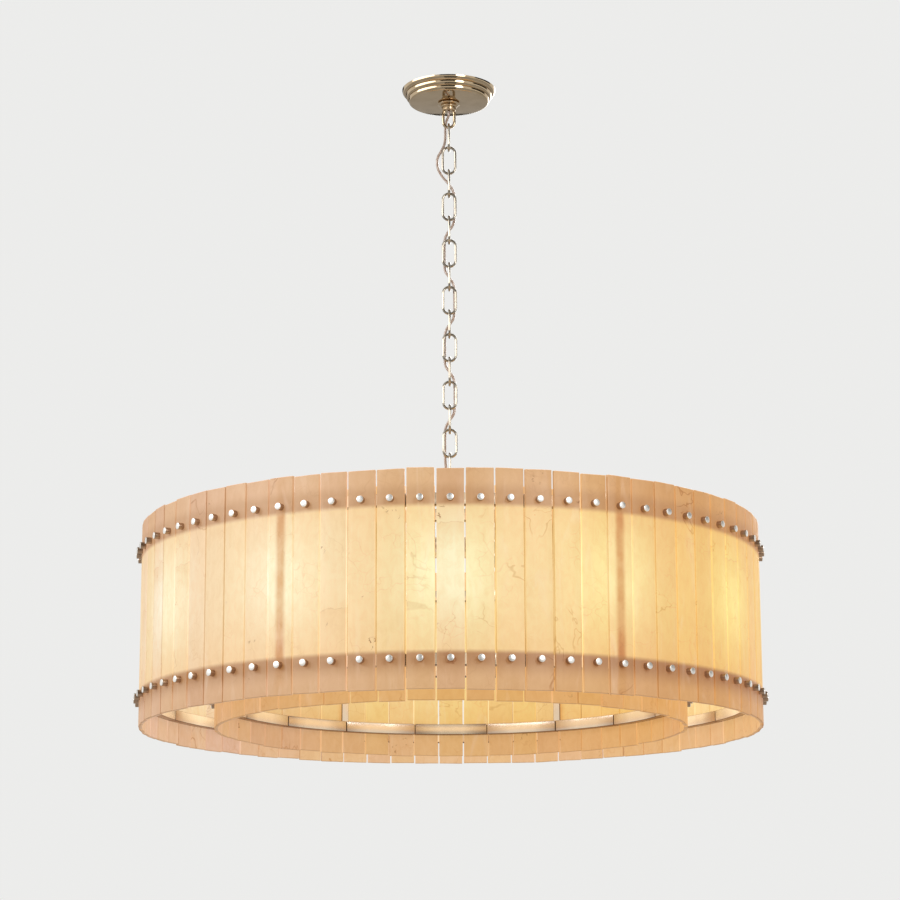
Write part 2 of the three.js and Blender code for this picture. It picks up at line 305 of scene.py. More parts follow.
# polished metals: base, the darker tone of its clouds, roughness
metalLooks = {
    "canopyNickel": ((0.60, 0.46, 0.30, 1), (0.53, 0.40, 0.25, 1), 0.07),
    "chainNickel": ((0.56, 0.50, 0.41, 1), (0.47, 0.41, 0.33, 1), 0.11),
    "ringNickel": ((0.54, 0.45, 0.38, 1), (0.47, 0.38, 0.31, 1), 0.24),
    "studNickel": ((0.80, 0.79, 0.77, 1), (0.72, 0.70, 0.67, 1), 0.34),
    "lampNickel": ((0.34, 0.29, 0.24, 1), (0.28, 0.23, 0.19, 1), 0.5),
    "bracketSteel": ((0.55, 0.54, 0.52, 1), (0.46, 0.45, 0.43, 1), 0.42),
}
# painted shade: the base of stud sides, of the ends, undersides and tops of ring bars, and of post sides
paintedMetalShades = {"studNickel": (0.40, 0.27, 0.18, 1), "ringNickel": (0.26, 0.16, 0.09, 1)}
paintedMetalLight = {  # painted lamplight, a glow of the metal: plain, brighter in the middle of a bar, and in the painted shade
    "ringNickel": ((0.16, 0.105, 0.065, 1), (0.62, 0.50, 0.34, 1), (0.03, 0.016, 0.008, 1)),
    "studNickel": ((0.22, 0.20, 0.17, 1), (0.22, 0.20, 0.17, 1), (0.03, 0.02, 0.012, 1)),
    "lampNickel": ((0.15, 0.10, 0.06, 1), (0.15, 0.10, 0.06, 1), (0.03, 0.02, 0.012, 1)),
}
metalMarks = {
    "cloudScale": 30, "cloudEdges": (0.35, 0.7),
    "smearScale": 90, "smearDetail": 2, "smearStretch": 0.35, "smearShare": 0.5, "smoothShare": 0.75,
}


def metalMaterial(name):
    light, dark, rough = metalLooks[name]
    material, tree, shader, place = startMaterial(name)
    tone = ramp(tree, cloud(tree, place, metalMarks["cloudScale"]), *metalMarks["cloudEdges"])
    colour = mixed(tree, tone, light, dark)
    # painted shade on the faces marked for it
    if name in paintedMetalShades:
        colour = mixed(tree, attribute(tree, "paintedMetalShade"), colour, paintedMetalShades[name])
    plug(tree, shader.inputs["Base Color"], colour)
    shader.inputs["Metallic"].default_value = 1
    # painted light: the metal glows with the lamplight it would catch
    if name in paintedMetalLight:
        plain, bright, shaded = paintedMetalLight[name]
        paintedLight = mixed(tree, attribute(tree, "paintedMetalHighlight"), plain, bright)
        paintedLight = mixed(tree, attribute(tree, "paintedMetalShade"), paintedLight, shaded)
        plug(tree, shader.inputs["Emission Color"], paintedLight)
        shader.inputs["Emission Strength"].default_value = 1
    smear = stretched(tree, place, metalMarks["smearStretch"])
    smear = cloud(tree, smear, metalMarks["smearScale"], metalMarks["smearDetail"])
    spread, least = rough * metalMarks["smearShare"], rough * metalMarks["smoothShare"]
    plug(tree, shader.inputs["Roughness"], calc(tree, "MULTIPLY_ADD", smear, spread, least))
    return material


# alabaster, lit from behind, its light painted as a glow. Colours are linear. A split is the radius
# between a tile's back and its front, and gold is how golden the painted light makes the right side on the
# backs and on the fronts. The glow of a front or a back is given at its ends, at its middle and beside a
# bulb. Bands are the rings' painted shade, and stripes the posts' painted shadows.
stoneLooks = {
    "outerAlabaster": {
        "base": (0.41, 0.285, 0.175, 1), "baseDeep": (0.35, 0.225, 0.125, 1),
        "split": 0.6068, "gold": (0.4, 1),
        "front": ((0.62, 0.43, 0.19, 1), (0.66, 0.54, 0.28, 1), (0.76, 0.78, 0.50, 1)),
        "back": ((0.70, 0.58, 0.30, 1), (0.76, 0.69, 0.44, 1), (0.80, 0.77, 0.54, 1)),
        "backBand": (0.60, 0.41, 0.24, 1), "band": (0.43, 0.25, 0.12, 1),
        "bandDeep": (0.20, 0.06, 0.0, 1), "stripe": (0.58, 0.24, 0.05, 1),
        # the posts' painted shadow also darkens the base colour
        "stripeBase": (0.87, 0.75, 0.58, 1),
    },
    "innerAlabaster": {
        # outside is a darker base on the outward faces, painted shade
        "base": (0.40, 0.27, 0.15, 1), "baseDeep": (0.33, 0.20, 0.10, 1), "outside": (0.32, 0.19, 0.08, 1),
        "split": 0.4600, "gold": (0.7, 0.35),
        "front": ((0.26, 0.12, 0.02, 1), (0.46, 0.30, 0.10, 1), (0.66, 0.60, 0.36, 1)),
        "back": ((0.62, 0.42, 0.16, 1), (0.68, 0.52, 0.22, 1), (0.72, 0.62, 0.33, 1)),
        "backBand": (0.54, 0.33, 0.16, 1), "band": (0.56, 0.335, 0.14, 1),
        "bandDeep": (0.52, 0.30, 0.12, 1), "stripe": (0.80, 0.60, 0.45, 1),
    },
}
surfaceLook = {
    "fine": 0.25, "roughSpread": 0.2, "roughLeast": 0.36, "cleftDepth": 0.8, "bump": (0.2, 0.0006),
    "tints": {  # strength and colour of each mark in the stone's surface
        "milk": (0.25, (0.55, 0.46, 0.38, 1)),
        "veins": (0.6, (0.20, 0.09, 0.03, 1)),
        "spots": (0.8, (0.12, 0.05, 0.02, 1)),
    },
}


def stoneMaterial(name):
    look = stoneLooks[name]
    material, tree, shader, place = startMaterial(name)
    marks = stoneMarks(tree, place)
    # painted light: the lamps' glow through the stone, with the posts' and rings' shadows, is emission
    plug(tree, shader.inputs["Emission Color"], stoneGlow(tree, place, look, marks))
    shader.inputs["Emission Strength"].default_value = 1

    base = mixed(tree, marks["clouds"], look["base"], look["baseDeep"])
    # painted shade: a darker base on the outward faces of the inner tiles
    if "outside" in look:
        base = mixed(tree, marks["facesOut"], base, look["outside"])
    # painted shadow of the posts on the base colour
    if "stripeBase" in look:
        base = mixed(tree, marks["stripe"], base, look["stripeBase"], "MULTIPLY")
    base = mixed(tree, calc(tree, "MULTIPLY", marks["fine"], surfaceLook["fine"]), base, look["baseDeep"])
    for mark, (strength, tint) in surfaceLook["tints"].items():
        base = mixed(tree, calc(tree, "MULTIPLY", marks[mark], strength), base, tint)
    plug(tree, shader.inputs["Base Color"], base)
    spread, least = surfaceLook["roughSpread"], surfaceLook["roughLeast"]
    plug(tree, shader.inputs["Roughness"], calc(tree, "MULTIPLY_ADD", marks["fine"], spread, least))
    cleft = calc(tree, "MULTIPLY", marks["cleft"], surfaceLook["cleftDepth"])
    height = calc(tree, "SUBTRACT", marks["fine"], cleft)
    plug(tree, shader.inputs["Normal"], bumped(tree, height, *surfaceLook["bump"]))
    return material


# the stone's noise patterns: stretch, scale, detail, roughness, distortion, and the noise where a
# mark starts and where it is full
markLook = {
    "clouds": (0.4, 11, 4, 0.55, 0.4, 0.3, 0.7),
    "grain": (0.03, 150, 3, 0.6, 0, 0.25, 0.75),
    "milk": (0.22, 30, 3, 0.55, 1.2, 0.55, 0.85),
    "mottle": (0.6, 70, 4, 0.65, 0.8, 0.35, 0.7),
    "patches": (1, 24, 3, 0.6, 0, 0.3, 0.65),
    "blotches": (1, 95, 4, 0.6, 0.5, 0.57, 0.66),
    "blotchArea": (1, 16, 1, 0.3, 0, 0.70, 0.77),
    "crazeArea": (1, 12, 2, 0.5, 0, 0.50, 0.62),
    "streaks": (0.3, 46, 3, 0.6, 0, 0.60, 0.80),
    "veinArea": (1, 7, 1, 0.3, 0, 0.62, 0.70),
}
flawLook = {
    "fine": (90, 4, 0.6), "vein": (13, 3, 0.55, 0.6), "veinEdge": (0.016, 0.003), "streak": 0.5,
    "crazeWarp": 26, "crazeBend": 0.045, "crazeCells": 30, "crazeEdge": (0.028, 0.004),
    "cleftScale": 38, "cleftBend": 0.03, "cleftEdge": (0.0011, 0.0002),
    "cleftFoot": (0.0003, -0.0003), "cleftFade": (-0.06, 0),
}


def stonePattern(tree, stone, name):
    stretch, scale, detail, roughness, distortion, start, full = markLook[name]
    place = stone if stretch == 1 else stretched(tree, stone, stretch)
    return ramp(tree, cloud(tree, place, scale, detail, roughness, distortion), start, full)


def stoneMarks(tree, place):  # each tile is cut from another place of the stone
    away = tree.nodes.new("ShaderNodeVectorMath")
    away.operation = "ADD"
    plug(tree, away.inputs[0], place)
    plug(tree, away.inputs[1], attribute(tree, "tileSeed", "Vector"))
    stone = away.outputs[0]
    marks = {name: stonePattern(tree, stone, name) for name in markLook}
    marks["fine"] = cloud(tree, stone, *flawLook["fine"])
    marks["spots"] = calc(tree, "MULTIPLY", marks["blotches"], marks["blotchArea"])
    marks["craze"] = calc(tree, "MULTIPLY", hairCracks(tree, stone), marks["crazeArea"])

    # rusty veins, here and there
    line = calc(tree, "ABSOLUTE", calc(tree, "SUBTRACT", cloud(tree, stone, *flawLook["vein"]), 0.5))
    streaks = calc(tree, "MULTIPLY", marks["streaks"], flawLook["streak"])
    veins = calc(tree, "MAXIMUM", ramp(tree, line, *flawLook["veinEdge"]), streaks)
    marks["veins"] = calc(tree, "MULTIPLY", veins, marks["veinArea"])

    # a natural cleft runs across some tiles, darker just below it
    reach = flawLook["cleftBend"]
    bend = calc(tree, "MULTIPLY_ADD", cloud(tree, stone, flawLook["cleftScale"]), reach, -reach / 2)
    past = calc(tree, "SUBTRACT", coordinates(tree, place)[2], attribute(tree, "tileCleft"))
    past = calc(tree, "SUBTRACT", past, bend)
    marks["cleft"] = ramp(tree, calc(tree, "ABSOLUTE", past), *flawLook["cleftEdge"])
    foot, fade = ramp(tree, past, *flawLook["cleftFoot"]), ramp(tree, past, *flawLook["cleftFade"])
    marks["cleftShade"] = calc(tree, "MULTIPLY", foot, fade)
    return marks


def hairCracks(tree, stone):
    warp = tree.nodes.new("ShaderNodeTexNoise")
    warp.inputs["Scale"].default_value = flawLook["crazeWarp"]
    plug(tree, warp.inputs["Vector"], stone)
    bent = tree.nodes.new("ShaderNodeVectorMath")
    bent.operation = "MULTIPLY_ADD"
    plug(tree, bent.inputs[0], warp.outputs["Color"])
    bent.inputs[1].default_value = [flawLook["crazeBend"]] * 3
    plug(tree, bent.inputs[2], stone)
    cells = tree.nodes.new("ShaderNodeTexVoronoi")
    cells.feature = "DISTANCE_TO_EDGE"
    cells.inputs["Scale"].default_value = flawLook["crazeCells"]
    plug(tree, cells.inputs["Vector"], bent.outputs[0])
    return ramp(tree, cells.outputs["Distance"], *flawLook["crazeEdge"])


# glow of the lamps in the stone: the height of the bulbs, how far they reach, the posts' shadows as
# stripes, the rings' shadows as bands, and the drift of colour from tile to tile
glowLook = {
    "height": -1.118, "reach": 0.165, "bulbTurn": 15, "hotAcross": 0.075, "hotUp": 0.085,
    "cloudy": 0.5, "splitEdge": 0.001, "blur": 0.007,
    "postTurn": 30, "stripe": 0.003, "stripeBlur": 0.011, "stripePatchy": 0.3, "stripeFade": 0.2,
    "bandReach": (0.05, 0.008), "topReach": (0.045, 0.02), "topDeep": 0.5,
    # painted side light: the glow gets paler to the left and more golden to the right
    "golden": (1.02, 0.80, 0.42, 1), "pale": (0.92, 0.90, 1.12, 1), "sideEdge": (0.10, 0.58),
    "tileDrift": {"Red": ("tileTone", 0.03), "Green": ("tileTone", 0.045), "Blue": ("tileWarmth", 0.10)},
    "edgePower": {"Red": 1, "Green": 1.3, "Blue": 1.9},
    "tints": {  # strength, or strength in the rings' shadow and in the light, colour, way of mixing
        "grain": (0.12, (0.86, 0.72, 0.52, 1), "MULTIPLY"),
        "mottle": (0.45, (0.86, 0.76, 0.60, 1), "MULTIPLY"),
        "craze": (0.5, (0.80, 0.66, 0.50, 1), "MULTIPLY"),
        "veins": ((0.65, 0.20), (0.66, 0.40, 0.18, 1), "MULTIPLY"),
        "milk": (0.2, (0.62, 0.52, 0.42, 1), "MIX"),
        "cleftShade": (0.5, (0.90, 0.80, 0.68, 1), "MULTIPLY"),
        "cleft": (0.35, (0.30, 0.16, 0.05, 1), "MIX"),
        "spots": (0.8, (0.20, 0.07, 0.01, 1), "MIX"),
    },
}


def stoneGlow(tree, place, look, marks):
    x, y, z = coordinates(tree, place)
    radius = calc(tree, "ADD", calc(tree, "MULTIPLY", x, x), calc(tree, "MULTIPLY", y, y))
    radius = calc(tree, "SQRT", radius)
    angle = bearing(tree, x, y)
    split, edge = look["split"], glowLook["splitEdge"]
    marks["facesOut"] = ramp(tree, radius, split - edge, split + edge)

    cloudy = calc(tree, "MULTIPLY_ADD", marks["clouds"], glowLook["cloudy"], -glowLook["cloudy"] / 2)
    upAway = calc(tree, "SUBTRACT", z, glowLook["height"])
    middle = calc(tree, "SUBTRACT", 1, squared(tree, upAway, glowLook["reach"]), clamp=True)
    middle = calc(tree, "ADD", middle, cloudy, clamp=True)
    hot = hotSpots(tree, angle, radius, upAway, cloudy)
    sides = []
    for atEnds, atMiddle, atBulbs in (look["back"], look["front"]):
        sides.append(mixed(tree, hot, mixed(tree, middle, atEnds, atMiddle), atBulbs))
    glow = mixed(tree, marks["facesOut"], *sides)

    marks["stripe"] = postShadows(tree, angle, radius, middle, marks["patches"])
    glow = mixed(tree, marks["stripe"], glow, look["stripe"], "MULTIPLY")
    lit, deep = ringShadows(tree, z)
    band = mixed(tree, deep, look["band"], look["bandDeep"])
    band = mixed(tree, marks["facesOut"], look["backBand"], band)
    glow = mixed(tree, lit, band, glow)
    glow = paintedSideLightAndTileTones(tree, glow, x, look, marks)

    for mark, (strength, tint, how) in glowLook["tints"].items():
        if isinstance(strength, tuple):
            shaded, bright = strength
            strength = calc(tree, "MULTIPLY_ADD", lit, bright - shaded, shaded)
        glow = mixed(tree, calc(tree, "MULTIPLY", marks[mark], strength), glow, tint, how)
    # painted light and shade on each kind of face of a tile
    shade = attribute(tree, "tileShade")
    edges = tree.nodes.new("ShaderNodeCombineColor")
    for channel, power in glowLook["edgePower"].items():
        plug(tree, edges.inputs[channel], calc(tree, "POWER", shade, power))
    return mixed(tree, 1.0, glow, edges.outputs[0], "MULTIPLY")


def hotSpots(tree, angle, radius, upAway, cloudy):  # one beside each bulb
    bulbAway = calc(tree, "PINGPONG", angle, math.radians(glowLook["bulbTurn"]))
    bulbAway = calc(tree, "MULTIPLY", bulbAway, radius)
    up, across = squared(tree, upAway, glowLook["hotUp"]), squared(tree, bulbAway, glowLook["hotAcross"])
    hot = calc(tree, "EXPONENT", calc(tree, "MULTIPLY", calc(tree, "ADD", up, across), -1))
    return calc(tree, "ADD", hot, calc(tree, "MULTIPLY", cloudy, hot), clamp=True)


def postShadows(tree, angle, radius, middle, patches):  # soft, and fainter at the lamps' height
    turn = math.radians(glowLook["postTurn"])
    postAway = calc(tree, "PINGPONG", calc(tree, "SUBTRACT", angle, turn), turn)
    postAway = calc(tree, "MULTIPLY", postAway, radius)
    stripe = ramp(tree, postAway, glowLook["stripe"] + glowLook["stripeBlur"], glowLook["stripe"])
    patchy = calc(tree, "MULTIPLY_ADD", patches, glowLook["stripePatchy"], 1 - glowLook["stripePatchy"])
    stripe = calc(tree, "MULTIPLY", stripe, patchy)
    return calc(tree, "MULTIPLY", stripe, calc(tree, "MULTIPLY_ADD", middle, -glowLook["stripeFade"], 1))


def ringShadows(tree, z):  # the light between the rings, and how deep the shade is past them
    topRing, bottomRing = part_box("inner_top_ring"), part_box("inner_bottom_ring")
    topLine = topRing[0].z
    bottomLine = bottomRing[0].z + (topRing[1].z - topRing[0].z)
    blur = glowLook["blur"]
    below = ramp(tree, z, topLine + blur / 2, topLine - blur)
    above = ramp(tree, z, bottomLine - blur / 2, bottomLine + blur)
    lit = calc(tree, "MULTIPLY", below, above)
    past = calc(tree, "MAXIMUM", calc(tree, "SUBTRACT", z, topLine), calc(tree, "SUBTRACT", bottomLine, z))
    deep = ramp(tree, past, *glowLook["bandReach"])
    deep = calc(tree, "MULTIPLY", deep, ramp(tree, z, topLine, bottomLine))
    touch = calc(tree, "MULTIPLY", ramp(tree, past, *glowLook["topReach"]), glowLook["topDeep"])
    return lit, calc(tree, "MAXIMUM", deep, touch)


def paintedSideLightAndTileTones(tree, glow, x, look, marks):  # painted light: paler to the left, more golden to the right, then each tile's own drift of tone
    near, far = glowLook["sideEdge"]
    left, right = ramp(tree, x, -near, -far), ramp(tree, x, -near, far)
    inside, outside = look["gold"]
    gold = calc(tree, "MULTIPLY_ADD", marks["facesOut"], outside - inside, inside)
    glow = mixed(tree, left, glow, glowLook["pale"], "MULTIPLY")
    glow = mixed(tree, calc(tree, "MULTIPLY", right, gold), glow, glowLook["golden"], "MULTIPLY")
    drifts = tree.nodes.new("ShaderNodeCombineColor")
    for channel, (name, drift) in glowLook["tileDrift"].items():
        shift = calc(tree, "MULTIPLY_ADD", attribute(tree, name), drift, 1 - drift / 2)
        plug(tree, drifts.inputs[channel], shift)
    return mixed(tree, 1.0, glow, drifts.outputs[0], "MULTIPLY")


# mesh helpers
def newObject(name, bm):
    mesh = bpy.data.meshes.new(name)
    bm.to_mesh(mesh)
    bm.free()
    made = bpy.data.objects.new(name, mesh)
    scene.collection.objects.link(made)
    return made


def newPiece(name, bm, material, body=None, nodes=(), sharp=35):
    piece = newObject(name, bm)
    piece.data.materials.append(material)
    piece.data.shade_smooth()
    piece.data.set_sharp_from_angle(angle=math.radians(sharp))
    if body:
        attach(piece, body)
    if nodes:
        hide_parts(*nodes)
    return piece


def closeUp(bm, within=1e-6):
    bmesh.ops.remove_doubles(bm, verts=bm.verts, dist=within)
    bmesh.ops.recalc_face_normals(bm, faces=bm.faces)
    return bm


def everything(bm):
    return bm.verts[:] + bm.edges[:] + bm.faces[:]


def edgesIn(geom):
    return [g for g in geom if isinstance(g, bmesh.types.BMEdge)]


def moved(bm, way):
    bmesh.ops.translate(bm, verts=bm.verts, vec=way)
    return bm


def turnedTo(bm, degrees, axis="Z"):
    turn = Matrix.Rotation(math.radians(degrees), 3, axis)
    bmesh.ops.rotate(bm, verts=bm.verts, cent=(0, 0, 0), matrix=turn)
    return bm


def turned(profile, steps):
    bm = bmesh.new()
    verts = [bm.verts.new((radius, 0, z)) for radius, z in profile]
    edges = [bm.edges.new(pair) for pair in zip(verts, verts[1:])]
    bmesh.ops.spin(bm, geom=verts + edges, cent=(0, 0, 0), axis=(0, 0, 1), angle=math.tau,
                   steps=steps, use_merge=True)
    return closeUp(bm)


def repeated(bm, count):
    turn = math.tau * (count - 1) / count
    bmesh.ops.spin(bm, geom=everything(bm), cent=(0, 0, 0), axis=(0, 0, 1), angle=turn,
                   steps=count - 1, use_duplicate=True)
    return bm


def joined(target, extra):
    mesh = bpy.data.meshes.new("part")
    extra.to_mesh(mesh)
    extra.free()
    target.from_mesh(mesh)
    bpy.data.meshes.remove(mesh)
    return target


def corner(radius, z, ways):  # points of an outline, as ways from one of its corners
    return [(radius + out, z + up) for out, up in ways]


# an outline of [radius, z] points with its corners rounded, up to a share of the shorter side
def rounded(corners, radius, steps=3, share=0.45):
    points = [corners[0]]
    for before, here, after in zip(corners, corners[1:], corners[2:]):
        b, h, a = Vector(before), Vector(here), Vector(after)
        cut = min(radius, (b - h).length * share, (a - h).length * share)
        start = h + (b - h).normalized() * cut
        end = h + (a - h).normalized() * cut
        for i in range(steps + 1):
            t = i / steps
            points.append(tuple(start.lerp(h, t).lerp(h.lerp(end, t), t)))
    points.append(corners[-1])
    return points


def bevelSharp(bm, width, least=50):  # edges that turn by more than least degrees
    edges = [e for e in bm.edges if len(e.link_faces) == 2 and e.calc_face_angle() > math.radians(least)]
    bmesh.ops.bevel(bm, geom=edges, offset=width, affect="EDGES", segments=2, profile=0.5, material=-1)
    return bm


def block(low, high, bevel):
    bm = bmesh.new()
    bmesh.ops.create_cube(bm, size=1)
    low, high = Vector(low), Vector(high)
    bmesh.ops.scale(bm, verts=bm.verts, vec=high - low)
    return bevelSharp(moved(bm, (high + low) / 2), bevel)


def marked(elements, name, value):  # one value, or one for each face or vertex, for the materials
    layer = elements.layers.float.new(name)
    for element in elements:
        element[layer] = value(element) if callable(value) else value


# an oval of round wire in the XZ plane, with a fine joint on its right side
wireLook = {"sides": 14, "bendSteps": 12, "seamDropShare": 0.62, "seamWidth": 0.0005, "seamShare": 0.82}


def wireOval(low, high, wire, seam=True):
    width = high.x - low.x
    bend = (width - wire) / 2
    straight = (high.z - low.z) - width
    bm = bmesh.new()
    start = bmesh.ops.create_circle(bm, segments=wireLook["sides"], radius=wire / 2)["verts"]
    bmesh.ops.translate(bm, verts=start, vec=(-bend, 0, straight / 2))
    first = bm.edges[:]
    ends = wireBend(bm, first, straight / 2)
    gap, share = wireLook["seamWidth"], wireLook["seamShare"]
    drop = straight * wireLook["seamDropShare"]
    steps = [(straight, 1)]
    if seam:
        rest = straight - drop - gap * 1.5  # what the fall to the joint and its three half gaps leave
        steps = [(drop, 1), (gap / 2, share), (gap / 2, 1), (gap / 2, 1 / share), (rest, 1)]
    for fall, scale in steps:
        made = bmesh.ops.extrude_edge_only(bm, edges=ends)["geom"]
        ends = edgesIn(made)
        verts = [g for g in made if isinstance(g, bmesh.types.BMVert)]
        bmesh.ops.translate(bm, verts=verts, vec=(0, 0, -fall))
        middle = sum((v.co for v in verts), Vector()) / len(verts)
        bmesh.ops.scale(bm, verts=verts, vec=(scale, scale, 1), space=Matrix.Translation(-middle))
    ends = wireBend(bm, ends, -straight / 2)
    bmesh.ops.bridge_loops(bm, edges=first + ends)
    return moved(closeUp(bm), (0, 0, (low.z + high.z) / 2))


def wireBend(bm, edges, height):
    made = bmesh.ops.spin(bm, geom=edges, cent=(0, 0, height), axis=(0, 1, 0), angle=math.pi,
                          steps=wireLook["bendSteps"], use_merge=False)
    return edgesIn(made["geom_last"])


# canopy: three quarter-round mouldings over a flat plate, and two rings on the collar below it.
# Corners are ways from a ring's outer edge, in the order of the outline.
canopyLook = {
    "mouldings": 3, "plate": 0.0795, "ledge": 0.0016, "wall": 0.0015, "hole": 0.01495, "arc": 8,
    "steps": 144, "sharp": 28,
}
collarLook = {
    "clear": 0.0003, "waist": 0.0045, "ring": 0.017, "rounding": 0.0007, "steps": 96,
    "rimTop": [(-0.002, 0), (0, -0.0018)], "rimFoot": [(0, 0.0012), (-0.0025, 0)],
    "ringTop": [(-0.0016, -0.0004), (0, -0.0016)], "ringFoot": [(0, 0.0012), (-0.0012, 0)],
}


def addCanopy():
    low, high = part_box("canopy")
    count, arc = canopyLook["mouldings"], canopyLook["arc"]
    depth = (high.z - low.z) / count
    fall = (high.x - canopyLook["plate"]) / count
    outside = []
    for i in range(count):
        ledge = canopyLook["ledge"] if i else 0
        start = high.x - i * fall - ledge
        for j in range(arc + 1):
            turn = math.pi / 2 * j / arc
            step = (fall - ledge) * (1 - math.cos(turn))
            outside.append((start - step, high.z - i * depth - depth * math.sin(turn)))
    wall, hole = canopyLook["wall"], canopyLook["hole"]
    floor = low.z + wall
    back = canopyLook["plate"] - 2 * wall
    inside = [(hole, floor), (back, floor), (back, high.z - 2 * depth),
              (high.x - 2 * wall - fall, high.z - depth), (high.x - 2 * wall, high.z)]
    outline = inside + outside + [(hole, low.z), (hole, floor)]
    newPiece("canopyShell", turned(outline, canopyLook["steps"]), metals["canopyNickel"],
             "canopy_cover", ["canopy"], sharp=canopyLook["sharp"])
    addCollar()
    print("canopy done")


def addCollar():
    low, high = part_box("canopy_collar")
    bore = canopyLook["hole"] - collarLook["clear"]
    waist = high.z - collarLook["waist"]
    ring = collarLook["ring"]
    outline = [(bore, high.z)]
    outline += corner(high.x, high.z, collarLook["rimTop"]) + corner(high.x, waist, collarLook["rimFoot"])
    outline += corner(ring, waist, collarLook["ringTop"]) + corner(ring, low.z, collarLook["ringFoot"])
    outline = rounded(outline + [(bore, low.z), (bore, high.z)], collarLook["rounding"])
    newPiece("canopyRings", turned(outline, collarLook["steps"]), metals["canopyNickel"],
             "canopy_cover", ["canopy_collar"], sharp=canopyLook["sharp"])


# crossbar with a boss and two screw heads, and the ring on a barrel that the chain hangs from. The
# lower ring is of the same wire, and its stem is given with it.
bracketLook = {
    "thick": 0.003, "bevel": 0.0008, "boss": 0.009, "bossSteps": 32, "rounding": 0.0008,
    "screwShare": 0.72, "screwSteps": 20,
    "screw": [(0, -0.0028), (0.0026, -0.0026), (0.0042, -0.0008), (0.0042, 0.0004), (0, 0.0004)],
}
eyeLook = {
    "wire": 0.006, "height": 0.046, "barrelFoot": -0.0457, "rounding": 0.0008, "barrelSteps": 64,
    "barrelTop": [(-0.001, 0), (0, -0.001)], "barrelEnd": [(0, 0.0015), (-0.0018, 0)],
    "stem": 0.009, "stemRise": 0.0074, "stemNeckShare": 0.7, "stemSlope": 0.002, "stemSteps": 40,
    "stemEnd": [(0, 0.001), (-0.001, 0)],
}


def addCeilingParts():
    low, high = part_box("ceiling_bracket")
    under = high.z - bracketLook["thick"]
    bm = block((low.x, low.y, under), (high.x, high.y, high.z), bracketLook["bevel"])
    boss, inPlate = bracketLook["boss"], high.z - bracketLook["thick"] / 2
    outline = rounded([(0, inPlate), (boss, inPlate), (boss, low.z), (0, low.z)], bracketLook["rounding"])
    joined(bm, turned(outline, bracketLook["bossSteps"]))
    for side in (-1, 1):
        head = turned(rounded(bracketLook["screw"], bracketLook["rounding"]), bracketLook["screwSteps"])
        joined(bm, moved(head, (side * high.x * bracketLook["screwShare"], 0, under)))
    newPiece("crossbar", bm, metals["bracketSteel"], "ceiling", ["ceiling_bracket"])

    low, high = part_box("canopy_eye")
    foot = eyeLook["barrelFoot"]
    ring = wireOval(Vector((low.x, 0, low.z)), Vector((high.x, 0, low.z + eyeLook["height"])),
                    eyeLook["wire"], seam=False)
    outline = [(0, high.z)] + corner(high.x, high.z, eyeLook["barrelTop"])
    outline += corner(high.x, foot, eyeLook["barrelEnd"]) + [(0, foot)]
    joined(ring, turned(rounded(outline, eyeLook["rounding"]), eyeLook["barrelSteps"]))
    newPiece("hangingRing", ring, metals["canopyNickel"], "ceiling", ["canopy_eye"])
    print("ceiling parts done")


chainLook = {"links": 15}


def addChain():
    for n in range(1, chainLook["links"] + 1):
        node = "chain_link_%02d" % n
        low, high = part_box(node)
        sideOn = high.y > high.x
        reach = max(high.x, high.y)
        bm = wireOval(Vector((-reach, 0, low.z)), Vector((reach, 0, high.z)), 2 * min(high.x, high.y))
        if sideOn:
            turnedTo(bm, 90)
        newPiece("link%02d" % n, bm, metals["chainNickel"], "link_%02d" % n, [node])
    print("chain done")


# supply cord: a route in millimetres, the same as the solid's, with the points from which its first
# stretch bends and up to which its last one does, and the metres beside each link's middle that
# stay unbent
cordLook = {
    "diameter": 5.5, "sides": 3, "smooth": 5, "bendsFrom": 2, "bendsTo": -5, "rigid": 0.006,
}
cordRoute = [
    (0, 0, -46.1), (0, 1, -52), (-2.5, 4.5, -60), (-5.8, 7.2, -68), (-7.2, 7.6, -77), (-7.6, 7.6, -92),
    (-8, 7.2, -106), (-10.5, 7, -119), (-17, 7, -132), (-23, 7, -144), (-24.5, 7, -156), (-22.5, 7, -168),
    (-16, 7.4, -181), (-9, 7, -191), (0, 3.5, -203), (8, 7, -216), (11.5, 7.8, -232), (12, 7.8, -252),
    (11, 7.8, -271), (8, 7, -288), (0, 3.5, -302), (-8, 7, -316), (-10, 7.8, -334), (-10, 7.8, -352),
    (-10, 7.8, -370), (-8, 7, -388), (0, 3.5, -401.5), (8, 7, -415), (10, 7.8, -433), (10, 7.8, -451),
    (10, 7.8, -469), (8, 7, -487), (0, 3.5, -501), (-8, 7, -515), (-10, 7.8, -533), (-10, 7.8, -551),
    (-10, 7.8, -569), (-8, 7, -587), (0, 3.5, -600.5), (8, 7, -614), (10, 7.8, -632), (10, 7.8, -650),
    (10, 7.8, -668), (8, 7, -686), (0, 3.5, -700), (-8, 7, -714), (-10, 7.8, -732), (-10, 7.8, -750),
    (-10, 7.8, -770), (-9, 7.8, -790), (-8, 7.8, -810), (-7.4, 7.6, -825), (-5, 5.6, -837),
    (-1.4, 1.8, -845), (0, 0.2, -851), (0, 0, -855.8),
]
jacketLook = {
    "tones": ((0.66, 0.52, 0.43, 1), (0.44, 0.30, 0.23, 1)), "toneEdges": (0.35, 0.65),
    "strandScale": 420, "strandDetail": 2, "strandRoughness": 0.6, "strandStretch": 0.22,
    "roughSpread": 0.12, "roughLeast": 0.2, "coat": 0.6, "coatRoughness": 0.12, "bump": (0.12, 0.0003),
}


